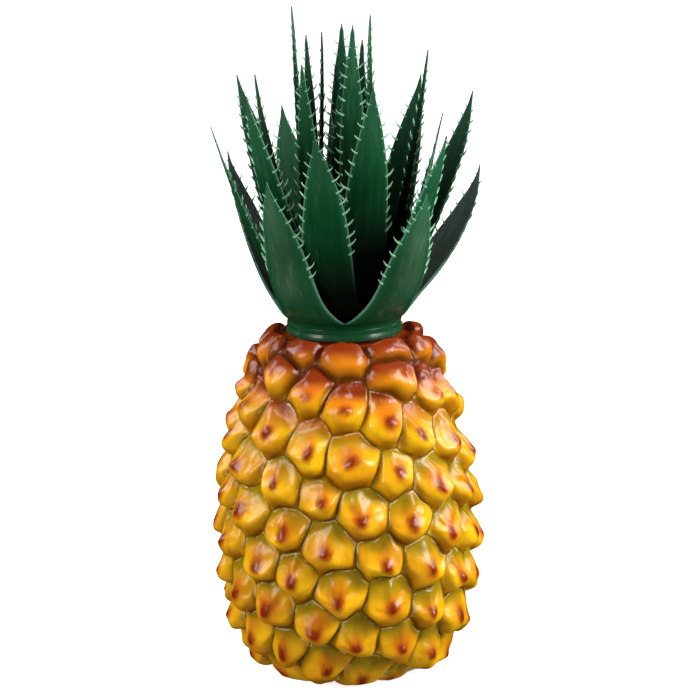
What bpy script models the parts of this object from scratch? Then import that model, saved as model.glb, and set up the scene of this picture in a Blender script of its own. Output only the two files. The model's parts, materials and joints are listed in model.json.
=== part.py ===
"""Pineapple-shaped hand shaker, in metres, +Z up, origin at the centre of the flat base, front towards -Y.

A hollow moulded shell with a pattern of eyes, a stopper in its neck, a leaf crown of six nested
whorls on a post that turns in the stopper, and loose pellets inside the shell.
"""

import math

import bmesh
import bpy
import numpy as np

MM = 0.001
GAP = 0.3 * MM  # clearance between touching pieces

# Shell: (radius, height) of the envelope over the eyes, from the flat base to the neck seat.
SHELL_PROFILE = (
    (28.5, 0.0), (34.5, 2.6), (40.2, 9.5), (44.8, 20.0), (47.6, 35.0), (48.3, 53.0), (47.2, 71.0),
    (43.8, 87.0), (40.6, 99.0), (37.0, 109.2), (33.0, 116.4), (28.8, 121.0), (25.0, 123.1), (22.0, 121.2),
)
SHELL_COLUMNS = 72  # four across each near-vertical line of eyes
SHELL_ROW_EYES = 3  # eyes passed on the spiral from one row of points to the next
SHELL_WALL = 5.2  # from the envelope over the eyes to the smooth inside
SHELL_FLOOR = 2.4
SHELL_FLOOR_RADIUS = 29.5
INSIDE_COLUMNS = 36  # half of SHELL_COLUMNS: the inside is plain
INSIDE_STEP = 36  # profile points from one inside ring to the next
EYE_AREA = 287.0  # surface that one eye takes up, in square millimetres
EYE_TURN = 139.7  # degrees from one eye to the next, counted upwards
EYE_LINE = 18  # every eighteenth eye stands almost above the first
EYE_PHASE = 8.0  # azimuth of the eye that sits EYE_LEVEL above the base
EYE_LEVEL = 67.5
EYE_DEPTH = 3.4  # from the top of an eye to the crease around it
EYE_REACH = 10.2  # from an eye's middle to the corner where three eyes meet

# Neck, stopper, post and collar.
NECK_RADIUS = 18.4
NECK_FOOT = 120.6  # the neck's outside meets the seat here
NECK_TOP = 122.6
NECK_BORE = 16.4
NECK_BORE_FOOT = 115.0  # the bore opens into the hollow here
STOPPER_DEPTH = 15.0
STOPPER_WALL = 1.8
STOPPER_FLANGE = 1.4
POST_RADIUS = 4.0
POST_HEAD_RADIUS = 7.0
POST_HEAD_HEIGHT = 2.0
COLLAR_BOTTOM = 121.9
COLLAR_TOP = 125.7
COLLAR_RADIUS = 20.1
COLLAR_FLARE = 20.9

# Leaf whorls, outermost first: cup radius, level where the leaves part, widest half width of a leaf and
# how full it stays towards the tip, lengths of the two handles of the centre line and how far each leans
# out, and per leaf (azimuth, tip radius, tip height).
WHORL_STEP = 1.5
WHORL_SHEET = 1.2
CUP_FLARE = 1.8  # how much wider a cup is at its notches than at its foot
WHORLS = (
    (21.9, 128.6, 11.8, 4.0, 11.0, 28.0, 0.74, 0.16,
     ((42, 43, 175.5), (112, 53, 177), (180, 46, 180), (250, 43, 184), (319, 39, 180))),
    (19.2, 130.4, 9.6, 4.5, 12.0, 34.0, 0.62, 0.28,
     ((-11, 47, 197.5), (59, 42, 193.5), (121, 55, 202), (206, 49, 196), (276, 45.5, 195.5))),
    (16.5, 132.6, 9.4, 4.2, 13.0, 36.0, 0.62, 0.22,
     ((17, 38, 212.5), (88, 35.5, 198.5), (140, 45, 207.5), (235, 45, 209.5), (307, 40, 208.5))),
    (13.7, 136.5, 5.6, 4.5, 14.0, 38.0, 0.50, 0.12,
     ((-33, 24, 218.5), (16, 16.5, 231), (102, 31.5, 219.5), (178, 22, 227.5), (250, 32, 211.5))),
    (10.9, 139.0, 4.6, 4.5, 14.0, 38.0, 0.36, 0.05,
     ((-4, 11, 208), (71, 11.5, 233), (144, 13.5, 223), (230, 15.5, 225), (284, 17, 236.5))),
    (8.1, 141.0, 3.4, 5.0, 14.0, 34.0, 0.20, 0.0,
     ((-30, 7, 200), (40, 7, 204), (110, 8, 205), (190, 8, 216), (260, 6.5, 227))),
)
LEAF_BEND = 14.0  # radius of a leaf's hollow cross-section near the tip
LEAF_FOOT = 0.25  # share of a leaf's length over which its foot narrows
LEAF_UPRIGHT = 0.35  # share of its length over which a leaf's section tilts from level to square
LEAF_COLUMNS = 4
LEAF_ROWS = (0.0, 0.12, 0.28, 0.46, 0.64, 0.82, 1.0)

# Pellets.
PELLET_COUNT = 20
PELLET_RADIUS = 3.0
PELLET_SPREAD = 5.1  # they lie on the floor on a spiral with this pitch
PELLET_TURN = 137.5


def clear_scene():
    for thing in list(bpy.data.objects):
        bpy.data.objects.remove(thing, do_unlink=True)


def plain_material(name, colour, roughness):
    material = bpy.data.materials.new(name)
    material.use_nodes = True
    shader = material.node_tree.nodes["Principled BSDF"]
    shader.inputs["Base Color"].default_value = (*colour, 1.0)
    shader.inputs["Roughness"].default_value = roughness
    return material


def add_object(name, points, faces, material, parent=None):
    mesh = bpy.data.meshes.new(name)
    mesh.from_pydata([tuple(float(c) * MM for c in p) for p in points], [], faces)
    mesh.validate()
    part = bpy.data.objects.new(name, mesh)
    bpy.context.scene.collection.objects.link(part)
    part.parent = parent
    mesh.materials.append(material)
    mesh.shade_smooth()
    mesh.set_sharp_from_angle(angle=math.radians(50))
    return part


def empty(name, z_mm=0.0, parent=None):
    mark = bpy.data.objects.new(name, None)
    mark.location = (0.0, 0.0, z_mm * MM)
    mark.empty_display_size = 0.02
    mark.parent = parent
    bpy.context.scene.collection.objects.link(mark)
    return mark


def direction(azimuth):
    """Unit vector in the XY plane, 0 degrees towards -Y and 90 degrees towards +X."""
    a = math.radians(azimuth)
    return np.array((math.sin(a), -math.cos(a)))


def smooth_profile(points, count):
    """Smooth curve through (radius, height) points, resampled to equal steps of arc length."""
    knots = np.array(points, float)
    padded = np.vstack((2 * knots[0] - knots[1], knots, 2 * knots[-1] - knots[-2]))
    fine = []
    for i in range(len(knots) - 1):
        a, b, c, d = padded[i:i + 4]
        for t in np.linspace(0.0, 1.0, 24, endpoint=False):
            fine.append(0.5 * (2 * b + (c - a) * t + (2 * a - 5 * b + 4 * c - d) * t**2
                               + (3 * b - a - 3 * c + d) * t**3))
    fine = np.array(fine + [knots[-1]])
    length = np.concatenate(([0.0], np.cumsum(np.linalg.norm(np.diff(fine, axis=0), axis=1))))
    steps = np.linspace(0.0, length[-1], count)
    return np.column_stack([np.interp(steps, length, fine[:, k]) for k in (0, 1)]), steps


def turned(name, profile, columns, material, parent=None):
    """Solid of revolution from a closed loop of (radius, height); radius 0 ends make a solid bar."""
    points, rings = [], []
    for radius, height in profile:
        if radius < 1e-6:
            rings.append([len(points)])
            points.append((0.0, 0.0, height))
            continue
        rings.append(list(range(len(points), len(points) + columns)))
        for k in range(columns):
            x, y = direction(360.0 * k / columns) * radius
            points.append((x, y, height))
    pairs = list(zip(rings, rings[1:]))
    if len(rings[0]) > 1:
        pairs.append((rings[-1], rings[0]))
    faces = [face for low, high in pairs for face in band(low, high)]
    return add_object(name, points, faces, material, parent)


def band(low, high):
    """Faces between two rings: equal counts, one twice the other, or a single centre point."""
    n, m = len(low), len(high)
    if n == 1:
        return [(low[0], high[(k + 1) % m], high[k]) for k in range(m)]
    if m == 1:
        return [(low[k], low[(k + 1) % n], high[0]) for k in range(n)]
    if n == m:
        return [(low[k], low[(k + 1) % n], high[(k + 1) % n], high[k]) for k in range(n)]
    faces = []
    for k in range(m):
        a, b, c = low[2 * k], low[2 * k + 1], low[(2 * k + 2) % n]
        p, q = high[k], high[(k + 1) % m]
        faces += [(a, b, p), (b, q, p), (b, c, q)]
    return faces


def shell_rings():
    """Rings of the bumpy outside, their azimuth lean, and the envelope they lie on."""
    profile, steps = smooth_profile(SHELL_PROFILE, 400)
    radii, heights = profile.T
    slope = np.gradient(profile, axis=0)
    slope /= np.linalg.norm(slope, axis=1)[:, None]
    area = np.concatenate(([0.0], np.cumsum(math.pi * (radii[1:] + radii[:-1]) * np.diff(steps))))
    start = np.interp(EYE_LEVEL, heights, area)
    first, last = -start / EYE_AREA, (area[-1] - start) / EYE_AREA
    eyes = np.arange(math.ceil(first), math.floor(last) + 1)
    eye_step = np.interp(start + eyes * EYE_AREA, area, steps)
    eye_azimuth = EYE_PHASE + EYE_TURN * eyes
    lean = (EYE_TURN * EYE_LINE % 360.0 - 360.0) / EYE_LINE
    levels = np.arange(math.ceil(first / SHELL_ROW_EYES), math.floor(last / SHELL_ROW_EYES) + 1)
    numbers = [first, *(levels * SHELL_ROW_EYES), last]
    rings = []
    for j, number in enumerate(numbers):
        here = np.interp(start + number * EYE_AREA, area, steps)
        r, z, dr, dz = [np.interp(here, steps, line) for line in (radii, heights, slope[:, 0], slope[:, 1])]
        fade = min(1.0, j / 2.0, (len(numbers) - 1 - j) / 1.5)
        ring = []
        for k in range(SHELL_COLUMNS):
            azimuth = EYE_PHASE + lean * number + 360.0 * k / SHELL_COLUMNS
            across = np.radians((eye_azimuth - azimuth + 180.0) % 360.0 - 180.0) * r
            near = np.hypot(across, eye_step - here).min()
            sink = EYE_DEPTH * min(1.15, (near / EYE_REACH)**2) * fade
            x, y = direction(azimuth) * (r - sink * dz)
            ring.append((x, y, z + sink * dr))
        rings.append(ring)
    return rings, EYE_PHASE + lean * last, profile, slope


def body_shell(material):
    rings, phase, profile, slope = shell_rings()
    plain = [(NECK_RADIUS + 0.4, NECK_FOOT, SHELL_COLUMNS), (NECK_RADIUS, NECK_TOP - 0.6, SHELL_COLUMNS),
             (NECK_RADIUS - 0.5, NECK_TOP, SHELL_COLUMNS), (NECK_BORE, NECK_TOP, INSIDE_COLUMNS),
             (NECK_BORE, NECK_BORE_FOOT, INSIDE_COLUMNS)]
    inner = profile - np.column_stack((slope[:, 1], -slope[:, 0])) * SHELL_WALL
    low, high = SHELL_FLOOR + 1.6, NECK_BORE_FOOT - 1.0
    plain += [(r, z, INSIDE_COLUMNS) for r, z in inner[::-INSIDE_STEP]
              if low < z < high and r > NECK_BORE + 1.0]
    plain += [(SHELL_FLOOR_RADIUS, SHELL_FLOOR, INSIDE_COLUMNS), (0.0, SHELL_FLOOR, 1)]
    points, loops = [(0.0, 0.0, 0.0)], [[0]]
    for ring in rings:
        loops.append(list(range(len(points), len(points) + len(ring))))
        points += ring
    for radius, height, columns in plain:
        loops.append(list(range(len(points), len(points) + columns)))
        for k in range(columns):
            x, y = direction(phase + 360.0 * k / columns) * radius
            points.append((x, y, height))
    faces = [face for low, high in zip(loops, loops[1:]) for face in band(low, high)]
    return add_object("body_shell", points, faces, material)


def leaf_width(t, base, widest, fullness):
    flare_out = max(0.0, 1.0 - t / LEAF_FOOT) ** 2
    return (widest + (base - widest) * flare_out) * (1.0 - t**fullness)


def leaf_point(whorl, leaf, t, s):
    """Point of a leaf's outer face: t runs from the cup to the tip, s from edge to edge as -1 to 1."""
    cup, level, widest, fullness, lower, upper, flare, lean, _ = whorl
    azimuth, tip_radius, tip_height = leaf
    start = np.array((cup, level))
    tip = np.array((tip_radius, tip_height))
    knee = start + lower * np.array((flare, math.sqrt(1.0 - flare**2)))
    neck = tip - upper * np.array((lean, math.sqrt(1.0 - lean**2)))
    u = 1.0 - t
    centre = u**3 * start + 3 * u * u * t * knee + 3 * u * t * t * neck + t**3 * tip
    along = 3 * u * u * (knee - start) + 6 * u * t * (neck - knee) + 3 * t * t * (tip - neck)
    along /= np.linalg.norm(along)
    tilt = min(1.0, t / LEAF_UPRIGHT)
    tilt = tilt * tilt * (3.0 - 2.0 * tilt)
    inward = np.array((-1.0, 0.0)) * (1.0 - tilt) + np.array((-along[1], along[0])) * tilt
    inward /= np.linalg.norm(inward)
    half = leaf_width(t, math.pi * cup / len(whorl[-1]), widest, fullness)
    bend = cup + (LEAF_BEND - cup) * min(1.0, t / 0.8)
    angle = s * half / bend
    r, z = centre + inward * bend * (1.0 - math.cos(angle))
    ahead = direction(azimuth)
    aside = np.array((-ahead[1], ahead[0]))
    x, y = ahead * r + aside * bend * math.sin(angle)
    return x, y, z


def whorl_columns(whorl):
    """Azimuth of every column of the cup, so that neighbouring leaves share the notch between them."""
    leaves = whorl[-1]
    turns = []
    for i, (azimuth, _, _) in enumerate(leaves):
        before = leaves[i - 1][0] - (360 if i == 0 else 0)
        after = leaves[(i + 1) % len(leaves)][0] + (360 if i == len(leaves) - 1 else 0)
        left, right = 0.5 * (before + azimuth), 0.5 * (azimuth + after)
        for k in range(LEAF_COLUMNS):
            turns.append(left + (right - left) * k / LEAF_COLUMNS)
    return turns


def leaf_whorl(number, whorl, material, parent):
    cup, level = whorl[0], whorl[1]
    leaves = whorl[-1]
    floor = COLLAR_TOP + GAP / MM + WHORL_STEP * (number - 1)
    turns = whorl_columns(whorl)
    count = len(turns)
    points, loops = [], []
    foot = cup - CUP_FLARE
    cup_rings = ((POST_RADIUS + GAP / MM, floor), (foot - 1.1, floor), (foot, floor + 1.0), (cup, level))
    for radius, height in cup_rings:
        loops.append(list(range(len(points), len(points) + count)))
        for azimuth in turns:
            x, y = direction(azimuth) * radius
            points.append((x, y, height))
    faces = [face for low, high in zip(loops, loops[1:]) for face in band(low, high)]
    rim = loops[-1]
    for i, leaf in enumerate(leaves):
        row = [rim[(i * LEAF_COLUMNS + k) % count] for k in range(LEAF_COLUMNS + 1)]
        left, right = turns[i * LEAF_COLUMNS], turns[((i + 1) * LEAF_COLUMNS) % count]
        span = (right - left) % 360.0
        for t in LEAF_ROWS[1:-1]:
            blend = max(0.0, 1.0 - t / 0.5)
            fresh = []
            for k in range(LEAF_COLUMNS + 1):
                s = 2.0 * k / LEAF_COLUMNS - 1.0
                fresh.append(len(points))
                skew = ((left + span / 2.0) - leaf[0] + 180.0) % 360.0 - 180.0
                turned_leaf = (leaf[0] + skew * blend**2, leaf[1], leaf[2])
                points.append(leaf_point(whorl, turned_leaf, t, s))
            faces += [(row[k], row[k + 1], fresh[k + 1], fresh[k]) for k in range(LEAF_COLUMNS)]
            row = fresh
        points.append(leaf_point(whorl, leaf, 1.0, 0.0))
        faces += [(row[k], row[k + 1], len(points) - 1) for k in range(LEAF_COLUMNS)]
    part = add_object(f"leaf_whorl_{number}", points, faces, material, parent)
    solid = part.modifiers.new("thickness", "SOLIDIFY")
    solid.thickness = WHORL_SHEET * MM
    solid.offset = -1.0
    solid.use_even_offset = False
    return part


def main():
    clear_scene()
    shell_skin = plain_material("shell_skin", (0.75, 0.42, 0.02), 0.35)
    leaf_green = plain_material("leaf_green", (0.02, 0.13, 0.05), 0.4)
    white_plastic = plain_material("white_plastic", (0.75, 0.73, 0.66), 0.45)
    post_green = plain_material("post_green", (0.03, 0.10, 0.04), 0.5)
    pellet_brown = plain_material("pellet_brown", (0.22, 0.09, 0.03), 0.4)

    shell = body_shell(shell_skin)

    gap = GAP / MM
    bore = POST_RADIUS + gap
    flange = NECK_TOP + gap
    flange_top = flange + STOPPER_FLANGE
    plug = NECK_BORE - gap
    hollow = plug - STOPPER_WALL
    bottom = NECK_TOP - STOPPER_DEPTH
    stopper_axis = empty("stopper_axis", flange, shell)
    stopper = turned(
        "stopper",
        ((bore, flange - 0.3), (hollow, flange - 0.3), (hollow, bottom), (plug - 0.6, bottom),
         (plug, bottom + 1.5), (plug, flange), (NECK_RADIUS - 0.2, flange),
         (NECK_RADIUS - 0.2, flange_top), (bore, flange_top)),
        40, white_plastic, stopper_axis)
    stopper.location.z = -flange * MM

    crown_axis = empty("crown_axis", flange_top - flange, stopper_axis)
    drop = -flange_top * MM
    web = flange_top + gap
    sleeve = NECK_RADIUS + gap
    collar = turned(
        "crown_collar",
        ((bore, web), (sleeve, web), (sleeve, COLLAR_BOTTOM), (COLLAR_FLARE - 0.3, COLLAR_BOTTOM),
         (COLLAR_FLARE, COLLAR_BOTTOM + 0.4), (COLLAR_RADIUS, COLLAR_TOP - 0.2),
         (COLLAR_RADIUS - 0.3, COLLAR_TOP), (bore, COLLAR_TOP)),
        40, leaf_green, crown_axis)
    head = flange - 2.0 * gap
    under = head - POST_HEAD_HEIGHT
    top = COLLAR_TOP + gap + WHORL_STEP * len(WHORLS) + 3.0
    post = turned(
        "crown_post",
        ((0.0, under), (POST_HEAD_RADIUS - 0.5, under), (POST_HEAD_RADIUS, under + 0.6),
         (POST_HEAD_RADIUS, head), (POST_RADIUS, head), (POST_RADIUS, top - 0.8), (POST_RADIUS - 0.8, top),
         (0.0, top)),
        24, post_green, crown_axis)
    whorls = [leaf_whorl(i + 1, whorl, leaf_green, crown_axis) for i, whorl in enumerate(WHORLS)]
    for piece in (collar, post, *whorls):
        piece.location.z = drop

    shot_axis = empty("shot_axis", 0.0, shell)
    ball = bpy.data.meshes.new("pellet")
    shape = bmesh.new()
    bmesh.ops.create_icosphere(shape, subdivisions=2, radius=PELLET_RADIUS * MM)
    shape.to_mesh(ball)
    shape.free()
    ball.materials.append(pellet_brown)
    ball.shade_smooth()
    for i in range(PELLET_COUNT):
        pellet = bpy.data.objects.new(f"pellet_{i + 1:02d}", ball)
        pellet.parent = shot_axis
        x, y = direction(PELLET_TURN * i) * PELLET_SPREAD * math.sqrt(i + 0.5)
        pellet.location = (x * MM, y * MM, (SHELL_FLOOR + gap + PELLET_RADIUS) * MM)
        bpy.context.scene.collection.objects.link(pellet)


main()
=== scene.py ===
"""Looks of the pineapple-shaped hand shaker: shell, spiny leaf whorls, collar, stopper, pellets and stage.

Sizes of the object are in millimetres, and MM turns them into scene units, from the height of the collar in
the frame. Sizes of the stage are in metres, and texture scales are per metre. Colours are linear.
"""

import json
import math
from collections import namedtuple

import bpy
import numpy as np
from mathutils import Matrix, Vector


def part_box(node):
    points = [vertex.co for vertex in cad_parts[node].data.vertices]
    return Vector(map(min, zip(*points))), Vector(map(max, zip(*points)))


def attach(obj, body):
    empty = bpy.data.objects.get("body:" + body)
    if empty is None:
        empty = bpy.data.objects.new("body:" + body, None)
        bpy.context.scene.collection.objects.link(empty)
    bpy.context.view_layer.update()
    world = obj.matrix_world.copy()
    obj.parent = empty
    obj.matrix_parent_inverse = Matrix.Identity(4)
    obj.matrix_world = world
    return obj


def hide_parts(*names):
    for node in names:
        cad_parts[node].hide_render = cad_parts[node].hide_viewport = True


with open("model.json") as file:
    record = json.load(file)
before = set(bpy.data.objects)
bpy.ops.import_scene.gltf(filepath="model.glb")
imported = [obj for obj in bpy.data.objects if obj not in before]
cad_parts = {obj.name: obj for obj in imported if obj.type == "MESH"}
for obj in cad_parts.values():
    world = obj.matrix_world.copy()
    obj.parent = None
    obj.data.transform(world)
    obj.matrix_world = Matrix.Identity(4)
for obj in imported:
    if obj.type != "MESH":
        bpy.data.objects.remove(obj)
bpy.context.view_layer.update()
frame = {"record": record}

COLLAR_TOP = 125.7
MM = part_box("crown_collar")[1][2] / COLLAR_TOP

# Shell envelope over the eyes, (radius, height) from the flat base to the seat of the crown.
SHELL_PROFILE = (
    (28.5, 0.0), (34.5, 2.6), (40.2, 9.5), (44.8, 20.0), (47.6, 35.0), (48.3, 53.0), (47.2, 71.0),
    (43.8, 87.0), (40.6, 99.0), (37.0, 109.2), (33.0, 116.4), (28.8, 121.0), (25.0, 123.1), (22.0, 121.2),
)
SHELL_COLUMNS = 560
SHELL_ROWS = 300
SHELL_WALL = 6.2  # from the tops of the eyes to the smooth inside
SHELL_FLOOR = 2.4
SHELL_FLOOR_RADIUS = 29.5
BASE_HOLLOW = 0.9  # the middle of the base is this far off the ground
CAVITY_TOP = 114.0
NECK_RADIUS = 18.4
NECK_FOOT = 120.6
NECK_TOP = 122.6
NECK_BORE = 16.4
NECK_BORE_FOOT = 115.0

# Eyes of the shell, on one spiral of equal area steps.
EYE_AREA = 287.0
EYE_TURN = 139.7
EYE_PHASE = 8.0
EYE_LEVEL = 67.5
EYE_RISE = 5.0  # from the crease to the top of an eye
EYE_TILT = 0.06  # the lower edge of an eye stands proud of the one below
EYE_WARP = 0.8  # how far the creases wander off straight lines
EYE_STRAY = (2.1, 1.5, 24.0)  # how far an eye's azimuth, rise and weight stray from the even spiral
PARTING = -63.0  # azimuth of the mould's parting line
EYE_SEAT = 12.5  # spiral eyes stop this far from the seat of the crown
SEAT_EYES = 10  # a last ring of rounder eyes round the seat
SEAT_RING = 6.0
SEAT_STRAY = (3.0, 0.9, 14.0)
SEAT_ROUNDER = (105.0, 117.0)  # eyes get rounder between these heights
SEAT_FLATTER = (112.0, 121.0)  # and their creases shallower between these
EYE_TIP = -1.4  # the dark tip sits this much below the middle
EYE_TIP_STRAY = (1.8, 1.4)  # and strays over this width and height
EYE_FULLNESS = 2.7  # how steeply an eye rises from its crease
EYE_LEAST_RADIUS = 24.0  # eyes keep the width that they have here where the shell closes in
FACET_SPREAD = 36.0  # each of an eye's two facets faces this far off the upright, in degrees
FACET_SPREAD_RANGE = 22.0
FACET_SLOPE = 0.42
FACET_SLOPE_RANGE = 0.20
FACET_BLEND = 0.8  # how widely a facet is rounded into the bulge
FOLD_HEIGHT = 0.05  # crumples round the upper side of an eye
FOLD_EXTRA = 0.30  # and how much higher they are on three eyes in ten
NIPPLE_HEIGHT = 0.1
NIPPLE_RANGE = 0.6
NIPPLE_RADIUS = 1.5
LEAN = 0.08  # how far an eye may lean to any side
LUMP_HEIGHT = 0.32
LUMP_WAVES = (6.0, 15.0)  # shortest and longest wave of the uneven surface
WARP_WAVES = (8.0, 18.0)  # and of the wandering creases
FLASH_HEIGHT = 0.20  # thin raised flash line beside a crease
FLASH_AT = 0.7
FLASH_WIDTH = 0.35
CREASE_FLOOR = 0.3  # height at which the bottom of a crease levels out
CREASE_ROUND = 0.6
CREASE_REACH = 0.45  # half the width of the dull bottom of a crease
SEAT_SHALLOW = 0.35  # share by which creases are shallower near the seat
SEAT_SINK = 1.0  # the last row meets the seat this deep under the envelope
SEAT_BLEND = 1.6
BASE_BLEND = 2.5  # eyes rise out of the flat base over twice this length

# Leaf whorls, outermost first: cup radius, notch level, widest half width, fullness, lengths of the two
# handles of a leaf's centre line and how far each leans out, and per leaf (azimuth, tip radius, tip height).
Whorl = namedtuple("Whorl", "cup notch widest fullness lower upper flare lean leaves")
WHORL_STEP = 1.5
CUP_FLARE = 1.8
POST_RADIUS = 4.0
WHORLS = (
    Whorl(21.9, 128.6, 11.8, 4.0, 11.0, 28.0, 0.74, 0.16,
          ((42, 43, 175.5), (112, 53, 177), (180, 46, 180), (250, 43, 184), (319, 39, 180))),
    Whorl(19.2, 130.4, 9.6, 4.5, 12.0, 34.0, 0.62, 0.28,
          ((-11, 47, 197.5), (59, 42, 193.5), (121, 55, 202), (206, 49, 196), (276, 45.5, 195.5))),
    Whorl(16.5, 132.6, 9.4, 4.2, 13.0, 36.0, 0.62, 0.22,
          ((17, 38, 212.5), (88, 35.5, 198.5), (140, 45, 207.5), (235, 45, 209.5), (307, 40, 208.5))),
    Whorl(13.7, 136.5, 5.6, 4.5, 14.0, 38.0, 0.50, 0.12,
          ((-33, 24, 218.5), (16, 16.5, 231), (102, 31.5, 219.5), (178, 22, 227.5), (250, 32, 211.5))),
    Whorl(10.9, 139.0, 4.6, 4.5, 14.0, 38.0, 0.36, 0.05,
          ((-4, 11, 208), (71, 11.5, 233), (144, 13.5, 223), (230, 15.5, 225), (284, 17, 236.5))),
    Whorl(8.1, 141.0, 3.4, 5.0, 14.0, 34.0, 0.20, 0.0,
          ((-30, 7, 200), (40, 7, 204), (110, 8, 205), (190, 8, 216), (260, 6.5, 227))),
)
LEAF_COLUMNS = 20
LEAF_BEND = 14.0
LEAF_FOOT = 0.25  # share of a leaf's length over which its foot narrows
LEAF_UPRIGHT = 0.35  # share of its length over which a leaf's section tilts from level to square
BLADE_END = 0.975  # the blade closes here and goes on as a thin spike
LEAF_THICK = 1.2  # the sheet at a leaf's foot
LEAF_THINNER = 0.55  # and how much thinner it is at the tip
FOLD_DEPTH = 0.10  # soft lengthwise folds
CUP_SHEET = 1.15  # wall of the cup that joins a whorl's leaves
CUP_COLUMNS = 24  # steps round the cup for each leaf
SPINE_START = 0.44  # share of a leaf's length where its thorns start
SPINE_END = 0.955
SPINE_GAP = 3.7
SPINE_LENGTH = 3.6
SPINE_RADIUS = 0.56
SPINE_RINGS = 5
SPINE_SIDES = 6

CLEARANCE = 0.3  # bores round the post, and the neck's bore round the plug
POST_FLANGE = 7.0  # radius of the flange at the post's foot

BEAD_COLUMNS = 36
BEAD_RINGS = 22
BEAD_SEAM = 0.02  # share of a pellet's radius by which its seam stands proud
BEAD_GATE = 0.97  # share of its radius to the gate mark

# Paints of the shell, with painted shade under the eyes and in their creases.
GOLD_DEEP, GOLD_BRIGHT, GOLD_WARM = (0.53, 0.243, 0.001), (0.69, 0.395, 0.002), (0.60, 0.210, 0.002)
OLIVE = (0.215, 0.150, 0.002)
# painted shade under each eye
SHADE_AMBER = (0.34, 0.105, 0.001)
# painted shade towards the creases, amber under an eye and olive over it
CREASE_SHADE_AMBER, CREASE_SHADE_OLIVE = (0.165, 0.052, 0.001), (0.150, 0.100, 0.002)
# painted shadow at the bottom of each crease
CREASE_SHADOW = (0.050, 0.034, 0.003)
HALO_ORANGE = (0.46, 0.095, 0.002)
TIP_BROWN = (0.165, 0.010, 0.001)
CROWN_ORANGE = (0.58, 0.135, 0.002)
# rust paint, and the painted shade in its creases
RUST, RUST_CREASE_SHADE = (0.150, 0.011, 0.001), (0.040, 0.006, 0.001)
CREAM = (0.58, 0.42, 0.20)
SPECK_BROWN = (0.25, 0.12, 0.01)
PARTING_ORANGE = (0.55, 0.22, 0.03)

# Plastic of the leaves: outer faces, inner faces, and what they share, with painted shade, highlights, sheen
# and a painted reflection among them.
OUTER_DEEP, OUTER_LIGHT = (0.0010, 0.044, 0.0118), (0.0024, 0.059, 0.0175)
OUTER_CLOUD = (0.007, 0.076, 0.028)
# whitish film that is partly a painted sheen
OUTER_FILM_SHEEN = (0.070, 0.118, 0.080)
OUTER_SCUFF = (0.060, 0.125, 0.078)
# painted highlights along the leaf margins
OUTER_EDGE_HIGHLIGHT = (0.030, 0.120, 0.060)
# painted sheen towards the tips
OUTER_TIP_SHEEN = (0.050, 0.165, 0.095)
OUTER_MARGIN_HIGHLIGHT = (0.110, 0.280, 0.170)
# inner faces: painted shade
INNER_SHADE_DEEP, INNER_SHADE_LIGHT = (0.0008, 0.018, 0.0055), (0.002, 0.034, 0.012)
INNER_TIP_SHEEN = (0.020, 0.075, 0.042)
# painted reflection of the pale surroundings on the outermost whorl's inner faces
REFLECTION_GREY_DEEP, REFLECTION_GREY_LIGHT = (0.095, 0.125, 0.112), (0.150, 0.190, 0.172)
INNER_MARGIN_HIGHLIGHT = (0.045, 0.130, 0.075)
# painted shade inside the crown
LEAF_PAINTED_SHADE = (0.0002, 0.0020, 0.0006)
THORN_PALE = (0.180, 0.380, 0.240)

# Lamps: name, azimuth, elevation, distance, width, height, power, colour, whether they show as reflections.
WHITE = (1.0, 1.0, 1.0)
LAMPS = (
    ("key_right", 69.0, 31.0, 1.0, 0.50, 0.70, 17.0, (1.0, 0.99, 0.97), True),
    ("fill_left", -58.0, 30.0, 1.0, 0.50, 0.70, 9.3, (1.0, 0.96, 0.93), True),
    ("top", 0.0, 84.0, 1.1, 0.8, 0.8, 4.0, WHITE, False),
    ("rim_right", 122.0, 28.0, 1.1, 0.35, 0.8, 6.0, WHITE, True),
    ("rim_left", -118.0, 28.0, 1.1, 0.35, 0.8, 5.0, WHITE, True),
    ("back", 180.0, 40.0, 1.3, 1.2, 0.8, 5.0, WHITE, False),
)
LAMP_AIM = 0.12  # height that the lamps face
SKY_ABOVE, SKY_BELOW = 0.29, 0.56

VIEW_WIDTH = 0.2471  # width of the picture at the object
VIEW_TILT = 12.7  # how far the camera looks down
VIEW_ROLL = -1.0
VIEW_AIM = (0.0017, 0.0, 0.1147)
LENS = 150.0
SENSOR = 36.0


# ---------------- mesh helpers


def direction(azimuth):
    """Unit vectors in the XY plane, 0 degrees towards -Y and 90 degrees towards +X."""
    a = np.radians(azimuth)
    return np.stack((np.sin(a), -np.cos(a)), axis=-1)


def level_ring(ahead, radius, height):
    """Points towards the given directions at a radius and a height, each one number or one for each point."""
    return np.column_stack((ahead * np.reshape(radius, (-1, 1)), np.full(len(ahead), height)))


def smooth(low, high, value):
    t = np.clip((value - low) / (high - low), 0.0, 1.0)
    return t * t * (3.0 - 2.0 * t)


def smooth_profile(points, count):
    """Spline through (radius, height) points, resampled to equal steps of arc length."""
    knots = np.array(points, float)
    padded = np.vstack((2 * knots[0] - knots[1], knots, 2 * knots[-1] - knots[-2]))
    fine = []
    for i in range(len(knots) - 1):
        a, b, c, d = padded[i:i + 4]
        for t in np.linspace(0.0, 1.0, 24, endpoint=False):
            fine.append(0.5 * (2 * b + (c - a) * t + (2 * a - 5 * b + 4 * c - d) * t**2
                               + (3 * b - a - 3 * c + d) * t**3))
    fine = np.array(fine + [knots[-1]])
    length = np.concatenate(([0.0], np.cumsum(np.linalg.norm(np.diff(fine, axis=0), axis=1))))
    steps = np.linspace(0.0, length[-1], count)
    return np.column_stack([np.interp(steps, length, fine[:, k]) for k in (0, 1)]), steps


def grid_faces(rows, columns, start=0, wrap=False):
    """Quads over a rows x columns block of vertices."""
    across = columns if wrap else columns - 1
    i, k = np.meshgrid(np.arange(rows - 1), np.arange(across), indexing="ij")
    a = start + i * columns + k
    b = start + i * columns + (k + 1) % columns
    return np.stack((a, b, b + columns, a + columns), axis=-1).reshape(-1, 4)


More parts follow.
